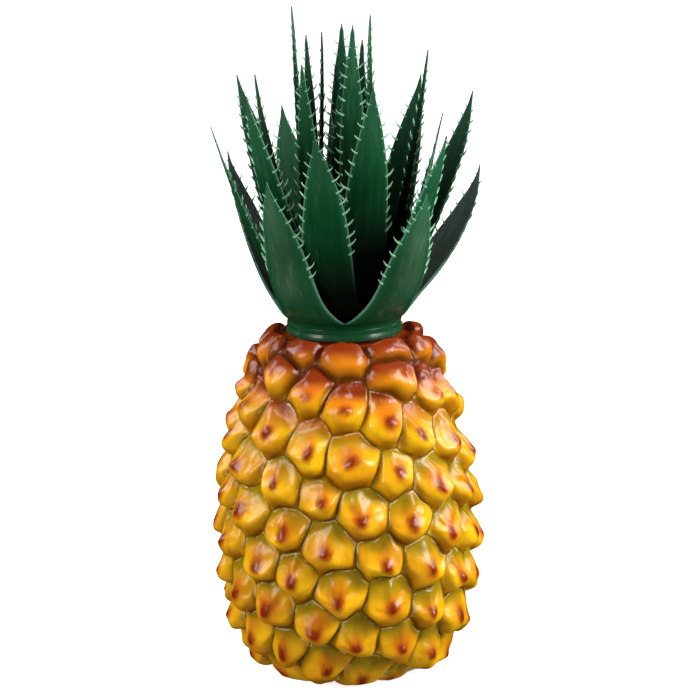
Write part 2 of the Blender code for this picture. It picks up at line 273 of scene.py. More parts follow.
class Build:
    """Collects vertices in millimetres, their attributes, and faces with a material number."""

    def __init__(self):
        self.points, self.fields, self.faces, self.slots = [], [], [], []
        self.count = 0

    def add(self, points, field=None):
        """Adds an (n, 3) block, with up to nine attribute values a point, and returns its first index."""
        points = np.asarray(points, float).reshape(-1, 3)
        first = self.count
        values = np.zeros((len(points), 9))
        if field is not None:
            field = np.asarray(field, float).reshape(len(points), -1)
            values[:, :field.shape[1]] = field
        self.points.append(points)
        self.fields.append(values)
        self.count += len(points)
        return first

    def face(self, faces, slot=0):
        faces = [tuple(int(v) for v in f) for f in faces]
        self.faces += faces
        self.slots += [slot] * len(faces)

    def band(self, start, end, count, slot=0):
        """Quads from one ring of vertices to another."""
        ring = np.arange(count)
        after = (ring + 1) % count
        self.face(np.column_stack((start + ring, start + after, end + after, end + ring)), slot)

    def fan(self, start, count, point, slot=0, field=None, turned=False):
        """Triangles from a ring of vertices to a new point at its middle."""
        middle = np.full(count, self.add([point], field))
        ring = np.arange(count)
        after = (ring + 1) % count
        a, b = (after, ring) if turned else (ring, after)
        self.face(np.column_stack((start + a, start + b, middle)), slot)

    def mesh(self, name, materials, fields, sharp=40.0):
        mesh = bpy.data.meshes.new(name)
        points = np.vstack(self.points) * MM
        mesh.from_pydata(points.tolist(), [], self.faces)
        values = np.vstack(self.fields)
        for i, field in enumerate(fields):
            layer = mesh.attributes.new(field, "FLOAT_VECTOR", "POINT")
            layer.data.foreach_set("vector", values[:, 3 * i:3 * i + 3].ravel())
        for material in materials:
            mesh.materials.append(material)
        mesh.polygons.foreach_set("material_index", self.slots)
        mesh.shade_smooth()
        if sharp:
            mesh.set_sharp_from_angle(angle=math.radians(sharp))
        piece = bpy.data.objects.new(name, mesh)
        bpy.context.scene.collection.objects.link(piece)
        return piece


def place(piece, body, slot, *nodes):
    """The piece rides on its body and stands for its CAD nodes."""
    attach(piece, body)
    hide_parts(*nodes)


# ---------------- material helpers


def fill(node, **values):
    """Sets inputs of a node by name, with _ for each space."""
    for key, value in values.items():
        node.inputs[key.replace("_", " ")].default_value = value


class Nodes:
    """A short way to write a node tree."""

    def __init__(self, name):
        self.material = bpy.data.materials.new(name)
        self.material.use_nodes = True
        self.tree = self.material.node_tree
        self.shader = self.tree.nodes["Principled BSDF"]

    def node(self, kind, **settings):
        made = self.tree.nodes.new(kind)
        for key, value in settings.items():
            setattr(made, key, value)
        return made

    def link(self, source, target):
        """source may be a socket, a number or a tuple."""
        if isinstance(source, bpy.types.NodeSocket):
            self.tree.links.new(source, target)
        elif isinstance(source, tuple) and len(source) == 3 and target.type == "RGBA":
            target.default_value = (*source, 1.0)
        else:
            target.default_value = source

    def math(self, operation, a, b=0.0):
        made = self.node("ShaderNodeMath", operation=operation)
        for value, socket in zip((a, b), made.inputs):
            self.link(value, socket)
        return made.outputs[0]

    def plus(self, a, b):
        return self.math("ADD", a, b)

    def minus(self, a, b):
        return self.math("SUBTRACT", a, b)

    def times(self, a, b):
        return self.math("MULTIPLY", a, b)

    def ramp(self, value, low, high):
        """0 at low and 1 at high, smooth between; low may be the larger."""
        made = self.node("ShaderNodeMapRange", interpolation_type="SMOOTHSTEP")
        self.link(value, made.inputs["Value"])
        if low > high:
            fill(made, From_Min=high, From_Max=low, To_Min=1.0, To_Max=0.0)
        else:
            fill(made, From_Min=low, From_Max=high, To_Min=0.0, To_Max=1.0)
        return made.outputs["Result"]

    def mix(self, factor, a, b):
        made = self.node("ShaderNodeMix", data_type="RGBA")
        self.link(factor, made.inputs["Factor"])
        self.link(a, made.inputs["A"])
        self.link(b, made.inputs["B"])
        return made.outputs["Result"]

    def coat(self, colour, mask, share, paint):
        """Paint over a colour: none where the mask is 0, and this share of it where the mask is 1."""
        return self.mix(self.times(mask, share), colour, paint)

    def split(self, vector):
        """The three parts of a vector."""
        parts = self.node("ShaderNodeSeparateXYZ")
        self.link(vector, parts.inputs[0])
        return tuple(parts.outputs)

    def attribute(self, name):
        """The three parts of a vector attribute."""
        return self.split(self.node("ShaderNodeAttribute", attribute_name=name).outputs["Vector"])

    def vector(self, x, y, z):
        made = self.node("ShaderNodeCombineXYZ")
        for value, socket in zip((x, y, z), made.inputs):
            self.link(value, socket)
        return made.outputs[0]

    def noise(self, scale, detail=3.0, rough=0.5, at=None):
        """Noise of a scale per metre over the object, or per unit of a place given as a vector."""
        made = self.node("ShaderNodeTexNoise")
        fill(made, Scale=scale, Detail=detail, Roughness=rough)
        where = at or self.node("ShaderNodeTexCoord").outputs["Object"]
        self.link(where, made.inputs["Vector"])
        return made.outputs["Fac"]

    def bump(self, height, distance, strength=1.0, normal=None):
        made = self.node("ShaderNodeBump")
        fill(made, Strength=strength, Distance=distance)
        self.link(height, made.inputs["Height"])
        if normal:
            self.link(normal, made.inputs["Normal"])
        return made.outputs["Normal"]

    def finish(self, colour, roughness, normal=None, **fixed):
        self.link(colour, self.shader.inputs["Base Color"])
        self.link(roughness, self.shader.inputs["Roughness"])
        if normal:
            self.link(normal, self.shader.inputs["Normal"])
        fill(self.shader, **fixed)
        return self.material


# ---------------- shell


def eye_centres(profile, steps):
    """Azimuth, arc length, weight and seed of every eye, a little off the even spiral."""
    radii, heights = profile.T
    area = np.concatenate(([0.0], np.cumsum(math.pi * (radii[1:] + radii[:-1]) * np.diff(steps))))
    start = np.interp(EYE_LEVEL, heights, area)
    eyes = np.arange(math.ceil(-start / EYE_AREA), math.floor((area[-1] - start) / EYE_AREA) + 1)
    centre = np.interp(start + eyes * EYE_AREA, area, steps)
    azimuth = EYE_PHASE + EYE_TURN * eyes
    random = np.random.default_rng(11)
    turn, rise, heavy = EYE_STRAY
    azimuth = azimuth + random.uniform(-turn, turn, len(eyes))
    centre = centre + random.uniform(-rise, rise, len(eyes))
    weight = random.uniform(-heavy, heavy, len(eyes))
    seed = random.uniform(0.0, 1.0, len(eyes))
    whole = centre < steps[-1] - EYE_SEAT
    turn, rise, heavy = SEAT_STRAY
    ring = (360.0 / SEAT_EYES * np.arange(SEAT_EYES) + random.uniform(-turn, turn, SEAT_EYES),
            steps[-1] - SEAT_RING + random.uniform(-rise, rise, SEAT_EYES),
            random.uniform(-heavy, heavy, SEAT_EYES), random.uniform(0.0, 1.0, SEAT_EYES))
    spiral = (azimuth[whole], centre[whole], weight[whole], seed[whole])
    return tuple(np.concatenate(pair) for pair in zip(spiral, ring))


def eye_fields(azimuth, step, radius, eyes):
    """Where points of one row lie in their eye: across, up, soft and sharp distance to the border, seed."""
    eye_azimuth, eye_step, weight, seed = eyes
    across = np.radians((azimuth[:, None] - eye_azimuth + 180.0) % 360.0 - 180.0) * radius
    up = step[:, None] - eye_step
    power = across**2 + up**2 - weight
    own = power.argmin(axis=1)
    rows = np.arange(len(azimuth))
    x, y = across[rows, own], up[rows, own]
    apart = np.hypot(across - x[:, None], up - y[:, None])
    apart[rows, own] = 1.0
    border = (power - power[rows, own][:, None]) / (2.0 * apart)
    border[rows, own] = 1e3
    sharp = border.min(axis=1)
    soft = -np.log(np.exp(-0.8 * np.minimum(border, 40.0)).sum(axis=1)) / 0.8
    return x, y, np.maximum(soft, 0.0), sharp, seed[own]


def soft_min(a, b, reach):
    """The lesser of two heights, rounded over where they meet."""
    blend = np.clip(0.5 + 0.5 * (b - a) / reach, 0.0, 1.0)
    return b * (1.0 - blend) + a * blend - reach * blend * (1.0 - blend)


def draw(seed, by):
    """Another number from 0 to 1 out of an eye's seed."""
    return seed * by % 1.0


def eye_height(x, y, soft, sharp, seed, lumps, rounder):
    """Height over the crease of a moulded eye: a full bulge cut by two flat facets that meet over its tip."""
    far = np.hypot(x, y)
    inset = np.maximum(soft - 0.15, 0.0)
    q = inset / (inset + 0.55 * far + 0.05)
    height = EYE_RISE * (1.0 - (1.0 - q)**EYE_FULLNESS)
    for way, pick in ((-1.0, 4.3), (1.0, 9.7)):
        spread = np.radians(FACET_SPREAD + FACET_SPREAD_RANGE * (draw(seed, pick) - 0.5))
        slope = FACET_SLOPE + FACET_SLOPE_RANGE * draw(seed, pick + 2.2)
        facet = EYE_RISE + 4.0 * rounder - slope * (way * x * np.sin(spread) + y * np.cos(spread))
        height = soft_min(height, facet, FACET_BLEND)
    spin = np.arctan2(y, x)
    above = smooth(-2.0, 2.5, y)
    crumpled = FOLD_HEIGHT + FOLD_EXTRA * (draw(seed, 6.1) > 0.70)
    fold = crumpled * np.sin(spin * (3.0 + 4.0 * seed) + 40.0 * seed) * above * smooth(1.5, 5.0, far)
    nipple = (NIPPLE_HEIGHT + NIPPLE_RANGE * draw(seed, 7.3)) * np.exp(-(far / NIPPLE_RADIUS)**2)
    inside = smooth(0.3, 3.0, soft)
    lean = ((draw(seed, 3.7) - 0.5) * x + (draw(seed, 5.9) - 0.5) * y) * LEAN
    flash = FLASH_HEIGHT * np.exp(-((sharp - FLASH_AT) / FLASH_WIDTH)**2) * smooth(-2.5, 2.0, y)
    return height + nipple + flash + (fold + lumps + lean - EYE_TILT * y) * inside


def wave_field(points, seed, shortest, longest):
    """Soft unevenness of a hand-sculpted mould, about -1 to 1, from a few fixed waves."""
    random = np.random.default_rng(seed)
    total = np.zeros(len(points))
    for _ in range(9):
        wave = random.normal(size=3)
        wave *= 2.0 * math.pi / random.uniform(shortest, longest) / np.linalg.norm(wave)
        total += np.sin(points @ wave + random.uniform(0.0, 6.3))
    return total / 3.0


def shell_row(azimuth, radius, height, slope, step, end, eyes):
    """Points of one row of the shell's outside, and their six attribute values."""
    ahead = direction(azimuth)
    here = level_ring(ahead, radius, height)
    reach = max(radius, EYE_LEAST_RADIUS)
    turned = azimuth + np.degrees(EYE_WARP * wave_field(here, 3, *WARP_WAVES) / reach)
    lifted = step + EYE_WARP * wave_field(here, 4, *WARP_WAVES)
    x, y, soft, sharp, seed = eye_fields(turned, lifted, reach, eyes)
    x = x + EYE_TIP_STRAY[0] * (draw(seed, 8.1) - 0.5)
    y = y - EYE_TIP + EYE_TIP_STRAY[1] * (draw(seed, 2.9) - 0.5)
    lumps = LUMP_HEIGHT * wave_field(here, 5, *LUMP_WAVES)
    # eyes near the seat are rounder and fall off towards it
    rounder = smooth(*SEAT_ROUNDER, height)
    shoulder = end - step + 3.5 + 30.0 * (1.0 - rounder)
    rise = eye_height(x, y, np.minimum(soft, shoulder), sharp, seed, lumps, rounder)
    rise = -soft_min(-rise, np.full_like(rise, -CREASE_FLOOR), CREASE_ROUND)
    # the profile goes over the tops of the eyes, and the creases sink under it
    top = EYE_RISE + 0.05
    rise = top - (top - rise) * (1.0 - SEAT_SHALLOW * smooth(*SEAT_FLATTER, height))
    sink = np.maximum(top - rise, -0.4) * smooth(-BASE_BLEND, BASE_BLEND, step)
    seat_share = smooth(0.0, SEAT_BLEND, end - step)
    sink = sink * seat_share + SEAT_SINK * (1.0 - seat_share)
    r, z = radius - sink * slope[1], height + sink * slope[0]
    upper = smooth(-3.5, 1.0, y)
    return level_ring(ahead, r, z), np.column_stack((x, y, seed, sharp, upper, np.full_like(x, height)))


def shell_rings(profile, slope):
    """(radius, height) of the rings up the neck, and of those down the inside to the floor."""
    neck = [(NECK_RADIUS + 0.4, NECK_FOOT), (NECK_RADIUS, NECK_TOP - 0.6),
            (NECK_RADIUS - 0.2, NECK_TOP - 0.15), (NECK_RADIUS - 0.6, NECK_TOP)]
    bore = [(NECK_BORE + 0.3, NECK_TOP), (NECK_BORE, NECK_TOP - 0.3), (NECK_BORE, NECK_BORE_FOOT)]
    inner = profile - np.column_stack((slope[:, 1], -slope[:, 0])) * SHELL_WALL
    hollow = [p for p in inner[::-18] if 4.0 < p[1] < CAVITY_TOP and p[0] > NECK_BORE + 1.0]
    return neck, [*bore, *hollow, (SHELL_FLOOR_RADIUS, SHELL_FLOOR)]


def shell_piece(outside, crease, inside):
    """The moulding: its skin of eyes, the flat base, the neck and the cavity."""
    profile, steps = smooth_profile(SHELL_PROFILE, SHELL_ROWS)
    slope = np.gradient(profile, axis=0)
    slope /= np.linalg.norm(slope, axis=1)[:, None]
    eyes = eye_centres(profile, steps)
    azimuth = np.arange(SHELL_COLUMNS) * 360.0 / SHELL_COLUMNS
    ahead = direction(azimuth)
    rows = [shell_row(azimuth, *place_at, lie, step, steps[-1], eyes)
            for place_at, lie, step in zip(profile, slope, steps)]
    fields = np.vstack([row[1] for row in rows])
    build = Build()
    build.add(np.vstack([row[0] for row in rows]), fields)
    skin = grid_faces(SHELL_ROWS, SHELL_COLUMNS, wrap=True)
    depth = fields[:, 3][skin].min(axis=1)
    build.face(skin[depth > CREASE_REACH])
    build.face(skin[depth <= CREASE_REACH], 2)
    build.fan(0, SHELL_COLUMNS, (0.0, 0.0, BASE_HOLLOW), turned=True)
    previous = (SHELL_ROWS - 1) * SHELL_COLUMNS
    seat = np.tile((0.0, 7.0, 0.5, 4.0, 0.0, 124.0), (SHELL_COLUMNS, 1))
    for slot, rings in enumerate(shell_rings(profile, slope)):
        for radius, height in rings:
            fresh = build.add(level_ring(ahead, radius, height), seat)
            build.band(previous, fresh, SHELL_COLUMNS, slot)
            previous = fresh
    build.fan(previous, SHELL_COLUMNS, (0.0, 0.0, SHELL_FLOOR), 1)
    piece = build.mesh("shell_moulding", (outside, inside, crease), ("eye_place", "eye_edge"), sharp=None)
    place(piece, "shell", "shell_skin", "body_shell")


def shell_material(name, gloss):
    """Painted vinyl: each eye is painted by the place from its tip and the distance to its crease, with
    painted shade under it and in its creases.
    """
    n = Nodes(name)
    x, y, seed = n.attribute("eye_place")
    edge, upper, height = n.attribute("eye_edge")
    far = n.math("SQRT", n.plus(n.times(x, x), n.times(y, y)))
    blotch = n.noise(75.0, 3.0, 0.55)
    wobble = n.minus(blotch, 0.5)
    colour = n.mix(n.ramp(blotch, 0.35, 0.65), GOLD_DEEP, GOLD_BRIGHT)
    colour = n.coat(colour, seed, 0.30, GOLD_WARM)
    # olive paint over the upper side of each eye and painted shade in amber under it, both turned to darker
    # painted shade towards the creases
    up = n.plus(y, n.times(wobble, 8.0))
    colour = n.coat(colour, n.ramp(up, 2.0, 9.0), 0.88, OLIVE)
    # painted shade over the lower side of each eye
    under = n.plus(y, n.times(wobble, 4.0))
    colour = n.coat(colour, n.ramp(under, -2.5, -7.5), 0.75, SHADE_AMBER)
    # painted shade darkening towards each crease
    ragged = n.plus(edge, n.times(wobble, 2.5))
    colour = n.coat(colour, n.ramp(ragged, 1.5, 0.1), 0.75, n.mix(upper, CREASE_SHADE_AMBER, CREASE_SHADE_OLIVE))
    # red-brown tip with an orange halo, both drawn out upwards
    stretch = n.times(n.math("MAXIMUM", y, 0.0), 0.45)
    halo_far = n.minus(n.plus(far, n.times(wobble, 5.0)), stretch)
    colour = n.coat(colour, n.ramp(halo_far, 4.6, 1.2), 0.70, HALO_ORANGE)
    streaks = n.noise(1.0, 3.0, 0.6, at=n.vector(n.times(x, 0.55), n.times(y, 0.30), n.times(seed, 40.0)))
    spot_far = n.plus(n.minus(far, n.times(stretch, 0.60)), n.times(n.minus(streaks, 0.5), 2.6))
    colour = n.coat(colour, n.ramp(spot_far, 3.2, 0.6), 0.96, TIP_BROWN)
    # orange and then rust paint under the crown, with painted shade darkest in the creases
    level = n.plus(height, n.plus(n.times(y, 1.30), n.times(wobble, 16.0)))
    colour = n.coat(colour, n.ramp(level, 97.0, 115.0), 0.72, CROWN_ORANGE)
    colour = n.coat(colour, n.ramp(level, 107.0, 120.0), 0.93, RUST)
    # painted shade in the creases under the crown
    crease = n.times(n.ramp(edge, 2.6, 0.0), n.ramp(height, 98.0, 114.0))
    colour = n.coat(colour, crease, 0.85, RUST_CREASE_SHADE)
    # thin cream flash line beside the crease, broken here and there, and a painted shadow in the crease
    # itself
    fine = n.plus(edge, n.times(n.minus(n.noise(380.0, 2.0), 0.5), 0.9))
    line = n.times(n.times(n.ramp(fine, 0.35, 0.60), n.ramp(fine, 1.15, 0.80)), upper)
    line = n.times(line, n.ramp(n.noise(190.0, 3.0, 0.6), 0.46, 0.58))
    line = n.times(line, n.ramp(height, 114.0, 104.0))
    colour = n.coat(colour, line, 0.80, CREAM)
    # painted shadow along the bottom of each crease
    colour = n.coat(colour, n.ramp(edge, 0.42, 0.05), 0.70, CREASE_SHADOW)
    colour = n.coat(colour, n.ramp(n.noise(900.0, 2.0, 0.6), 0.62, 0.75), 0.12, SPECK_BROWN)
    # raised parting line of the mould, in the plane through the axis
    east, north, _ = n.split(n.node("ShaderNodeTexCoord").outputs["Object"])
    turn = math.radians(PARTING)
    off = n.plus(n.times(east, math.cos(turn)), n.times(north, math.sin(turn)))
    off = n.math("ABSOLUTE", n.plus(off, n.times(wobble, 0.004)))
    parting = n.ramp(off, 0.00055, 0.00015)
    colour = n.coat(colour, parting, 0.55, PARTING_ORANGE)
    roughness = n.plus(0.17, n.times(n.noise(240.0, 3.0), 0.14))
    normal = n.bump(streaks, 0.0010, 0.20)
    normal = n.bump(parting, 0.00035, 1.0, normal)
    normal = n.bump(n.noise(1500.0, 2.0), 0.00012, 0.35, normal)
    return n.finish(colour, roughness, normal, Specular_IOR_Level=gloss)


def plain_vinyl(name, colour, roughness, scale=220.0):
    """Moulded plastic in one tint, a little cloudy and pebbled."""
    n = Nodes(name)
    cloud = n.noise(scale * 0.3, 3.0)
    tint = n.mix(n.ramp(cloud, 0.3, 0.7), tuple(c * 0.8 for c in colour), colour)
    rough = n.plus(roughness - 0.06, n.times(n.noise(scale), 0.14))
    return n.finish(tint, rough, n.bump(n.noise(scale * 6.0, 2.0), 0.00008, 0.4))


# ---------------- leaves


def leaf_centre(whorl, leaf, t):
    """(radius, height) of a leaf's centre line at t, and its unit tangent."""
    start, tip = np.array((whorl.cup, whorl.notch)), np.array(leaf[1:], float)
    knee = start + whorl.lower * np.array((whorl.flare, math.sqrt(1.0 - whorl.flare**2)))
    neck = tip - whorl.upper * np.array((whorl.lean, math.sqrt(1.0 - whorl.lean**2)))
    u, t = 1.0 - t[..., None], t[..., None]
    centre = u**3 * start + 3 * u * u * t * knee + 3 * u * t * t * neck + t**3 * tip
    along = 3 * u * u * (knee - start) + 6 * u * t * (neck - knee) + 3 * t * t * (tip - neck)
    return centre, along / np.linalg.norm(along, axis=-1, keepdims=True)


def leaf_half(whorl, t, base):
    """Half width of a leaf at t: a wide foot, a full blade and a short spike."""
    foot = np.clip(1.0 - t / LEAF_FOOT, 0.0, 1.0)**2
    blade = whorl.widest + (base - whorl.widest) * foot
    blade = blade * np.clip(1.0 - (t / BLADE_END)**whorl.fullness, 0.0, 1.0)
    spike = 0.75 * np.clip((1.0 - t) / (1.0 - BLADE_END), 0.25, 1.0)
    return np.sqrt(blade**2 + (spike * smooth(0.8, 0.97, t))**2)


class Leaf:
    """One leaf of a whorl: places, tangents and widths anywhere on its outer face."""

    def __init__(self, whorl, leaf, left, right, seed):
        self.whorl, self.leaf, self.seed = whorl, leaf, seed
        self.skew = (0.5 * (left + right) - leaf[0] + 180.0) % 360.0 - 180.0
        self.base = math.radians((right - left) / 2.0) * whorl.cup  # half width of the foot
        curve, _ = leaf_centre(whorl, leaf, np.linspace(0.0, 1.0, 60))
        self.length = np.linalg.norm(np.diff(curve, axis=0), axis=1).sum()

    def axes(self, t):
        """Centre, tangent along, unit aside and outward normal at t, all (n, 3)."""
        centre, along = leaf_centre(self.whorl, self.leaf, t)
        azimuth = self.leaf[0] + self.skew * np.clip(1.0 - t / 0.5, 0.0, 1.0)**2
        azimuth = azimuth + 3.0 * (self.seed % 1.0 - 0.5) * np.sin(2.0 * math.pi * t)
        ahead = direction(azimuth)
        aside = np.stack((-ahead[..., 1], ahead[..., 0]), axis=-1)
        zero = np.zeros_like(t)
        place_at = np.concatenate((ahead * centre[..., :1], centre[..., 1:]), axis=-1)
        tangent = np.concatenate((ahead * along[..., :1], along[..., 1:]), axis=-1)
        side = np.concatenate((aside, zero[..., None]), axis=-1)
        level = 1.0 - smooth(0.0, LEAF_UPRIGHT, t)[..., None]
        outward = np.concatenate((ahead * along[..., 1:], -along[..., :1]), axis=-1)
        flat = np.concatenate((ahead, zero[..., None]), axis=-1)
        outward = outward * (1.0 - level) + flat * level
        return place_at, tangent, side, outward / np.linalg.norm(outward, axis=-1, keepdims=True)

    def section(self, t):
        """Half width at t, and the radius to which the leaf is bent across."""
        bend = self.whorl.cup + (LEAF_BEND - self.whorl.cup) * np.clip(t / 0.8, 0.0, 1.0)
        return leaf_half(self.whorl, t, self.base), bend

    def surface(self, t, s):
        """Points and outward normals of the outer face at matching arrays t and s."""
        centre, _, side, outward = self.axes(t)
        half, bend = self.section(t)
        angle = s * half / bend
        lift = bend * (1.0 - np.cos(angle))
        point = centre + side * (bend * np.sin(angle))[..., None] - outward * lift[..., None]
        normal = outward * np.cos(angle)[..., None] + side * np.sin(angle)[..., None]
        return point, normal

    def thickness(self, t, s):
        thick = LEAF_THICK - LEAF_THINNER * smooth(0.3, 0.9, t)
        edge = 1.0 - 0.55 * smooth(0.55, 1.0, np.abs(s)) * smooth(0.05, 0.3, t)
        return thick * edge * (1.0 - 0.35 * smooth(0.93, 1.0, t))

    def margin_out(self, t, way):
        """Unit vector pointing out of the leaf's edge, in its plane, and the tangent along the leaf."""
        _, tangent, side, outward = self.axes(t)
        half, bend = self.section(t)
        angle = half / bend
        return side * way * np.cos(angle)[..., None] - outward * np.sin(angle)[..., None], tangent


def leaf_rows():
    """Steps along a leaf, closer at the notch and at the tip."""
    foot = np.linspace(0.0, 0.12, 12, endpoint=False)
    blade = np.linspace(0.12, 0.84, 46, endpoint=False)
    tip = np.linspace(0.84, 1.0, 28)
    return np.concatenate((foot, blade, tip))


def add_spine(build, base, out, along, length, width, facing, field):
    """A small forward-hooked thorn on a leaf margin."""
    turn = np.linspace(0.0, 2.0 * math.pi, SPINE_SIDES, endpoint=False)
    points = []
    for u in np.linspace(0.0, 0.94, SPINE_RINGS):
        centre = base + out * length * (1.05 * u - 0.22 * u * u) + along * length * (0.12 * u + 0.48 * u * u)
        size = width * (1.0 - 0.55 * u)
        points.append(centre + size * (np.cos(turn)[:, None] * along + np.sin(turn)[:, None] * facing * 0.9))
    tip = base + out * length * 0.84 + along * length * 0.68
    first = build.add(np.vstack(points), np.tile(field, (SPINE_RINGS * SPINE_SIDES, 1)))
    build.face(grid_faces(SPINE_RINGS, SPINE_SIDES, first, wrap=True))
    build.fan(first + (SPINE_RINGS - 1) * SPINE_SIDES, SPINE_SIDES, tip, field=[field])
    build.face([tuple(first + np.arange(SPINE_SIDES)[::-1])])


def add_thorns(build, leaf):
    """Thorns along both margins, smaller and closer towards the tip."""
    random = np.random.default_rng(int(leaf.seed * 1e6))
    for way in (-1.0, 1.0):
        position = (SPINE_START + 0.05 * random.uniform()) * leaf.length
        while position < SPINE_END * leaf.length:
            where = np.array([position / leaf.length])
            edge, face = leaf.surface(where, np.array([way]))
            out, tangent = leaf.margin_out(where, way)
            size = 1.0 - 0.45 * smooth(0.75, 1.0, where[0])
            length = SPINE_LENGTH * size * random.uniform(0.75, 1.15)
            base = edge[0] - face[0] * 0.25 - out[0] * 1.1 * size
            tilt = out[0] + face[0] * random.uniform(0.0, 0.3)
            add_spine(build, base, tilt / np.linalg.norm(tilt), tangent[0], length, SPINE_RADIUS * size,
                      face[0], (0.0, position, leaf.seed, 0.0, 0.0, 1.0, where[0]))
            position += SPINE_GAP * (1.0 - 0.35 * smooth(0.7, 1.0, where[0])) * random.uniform(0.85, 1.15)


def add_leaf(build, leaf, rows):
    """Outer face, inner face and edges of one leaf, with its thorns."""
    columns = LEAF_COLUMNS + 1
    t, s = np.meshgrid(rows, np.linspace(-1.0, 1.0, columns), indexing="ij")
    outer, normal = leaf.surface(t, s)
    across = s * leaf.section(t)[0]
    shown = smooth(0.05, 0.3, t) * (1.0 - smooth(0.75, 0.95, t))
    folds = FOLD_DEPTH * np.sin(across * 1.7 + 20.0 * leaf.seed) * shown
    outer = outer + normal * folds[..., None]
    inner = outer - normal * leaf.thickness(t, s)[..., None]
    zero = np.zeros_like(t)
    fields = [np.stack((across, t * leaf.length, zero + leaf.seed, s, zero + inside, zero, t), axis=-1)
              for inside in (0.0, 1.0)]
    a = build.add(outer, fields[0])
    b = build.add(inner, fields[1])
    build.face(grid_faces(len(rows), columns, a))
    build.face(grid_faces(len(rows), columns, b)[:, ::-1], 1)
    left_a, left_b = a + np.arange(len(rows)) * columns, b + np.arange(len(rows)) * columns
    right_a, right_b = left_a + columns - 1, left_b + columns - 1
    build.face(np.column_stack((left_a[1:], left_b[1:], left_b[:-1], left_a[:-1])))
    build.face(np.column_stack((right_a[:-1], right_b[:-1], right_b[1:], right_a[1:])))
    top_a, top_b = left_a[-1], left_b[-1]
    k = np.arange(columns - 1)
    build.face(np.column_stack((top_a + k, top_a + k + 1, top_b + k + 1, top_b + k)))
    build.face(np.column_stack((b + k, b + k + 1, a + k + 1, a + k)))
    add_thorns(build, leaf)


def add_cup(build, number, whorl):
    """The cup that joins a whorl's leaves: round the post at the floor, and up to the notches outside."""
    cup, level = whorl.cup, whorl.notch
    floor = COLLAR_TOP + 0.3 + WHORL_STEP * (number - 1)
    foot = cup - CUP_FLARE
    bore = POST_RADIUS + CLEARANCE
    outside = [(bore, floor), (foot - 0.08, floor), (foot, floor + 0.06), (foot, floor + 0.4)]
    for u in np.linspace(0.25, 1.0, 6):
        outside.append((foot + CUP_FLARE * u**1.6, floor + 0.4 + (level - floor - 0.4) * u))
    inside = [(cup - CUP_SHEET, level), (foot - CUP_SHEET, floor + 1.6), (foot - 2.2, floor + CUP_SHEET),
              (bore, floor + CUP_SHEET)]
    around = CUP_COLUMNS * len(whorl.leaves)
    turns = np.arange(around) * 360.0 / around
    ahead = direction(turns)
    field = np.zeros((around, 6))
    field[:, 0] = turns * cup * math.pi / 180.0
    field[:, 2] = number - 0.5
    first = build.count
    for j, (radius, height) in enumerate(outside + inside):
        field[:, 1] = height - level
        field[:, 4] = 0.0 if j < len(outside) else 1.0
        build.add(level_ring(ahead, radius, height), field)
    bands = grid_faces(len(outside + inside), around, first, wrap=True)
    build.face(bands[:len(outside) * around])
    build.face(bands[len(outside) * around:], 1)
    build.band(first + (len(outside + inside) - 1) * around, first, around)


def whorl_piece(number, whorl, materials):
    """One moulded whorl: its leaves, each as wide at the foot as its share of the cup, and the cup."""
    leaves, count = whorl.leaves, len(whorl.leaves)
    build = Build()
    rows = leaf_rows()
    random = np.random.default_rng(100 + number)
    for i, leaf in enumerate(leaves):
        before = leaves[i - 1][0] - (360 if i == 0 else 0)
        after = leaves[(i + 1) % count][0] + (360 if i == count - 1 else 0)
        left, right = 0.5 * (before + leaf[0]), 0.5 * (leaf[0] + after)
        add_leaf(build, Leaf(whorl, leaf, left, right, number - 1 + random.uniform()), rows)
    add_cup(build, number, whorl)
    piece = build.mesh(f"leaves_{number}", materials, ("leaf_place", "leaf_side", "leaf_tone"), sharp=55.0)
    place(piece, "crown", "leaf_plastic", f"leaf_whorl_{number}")


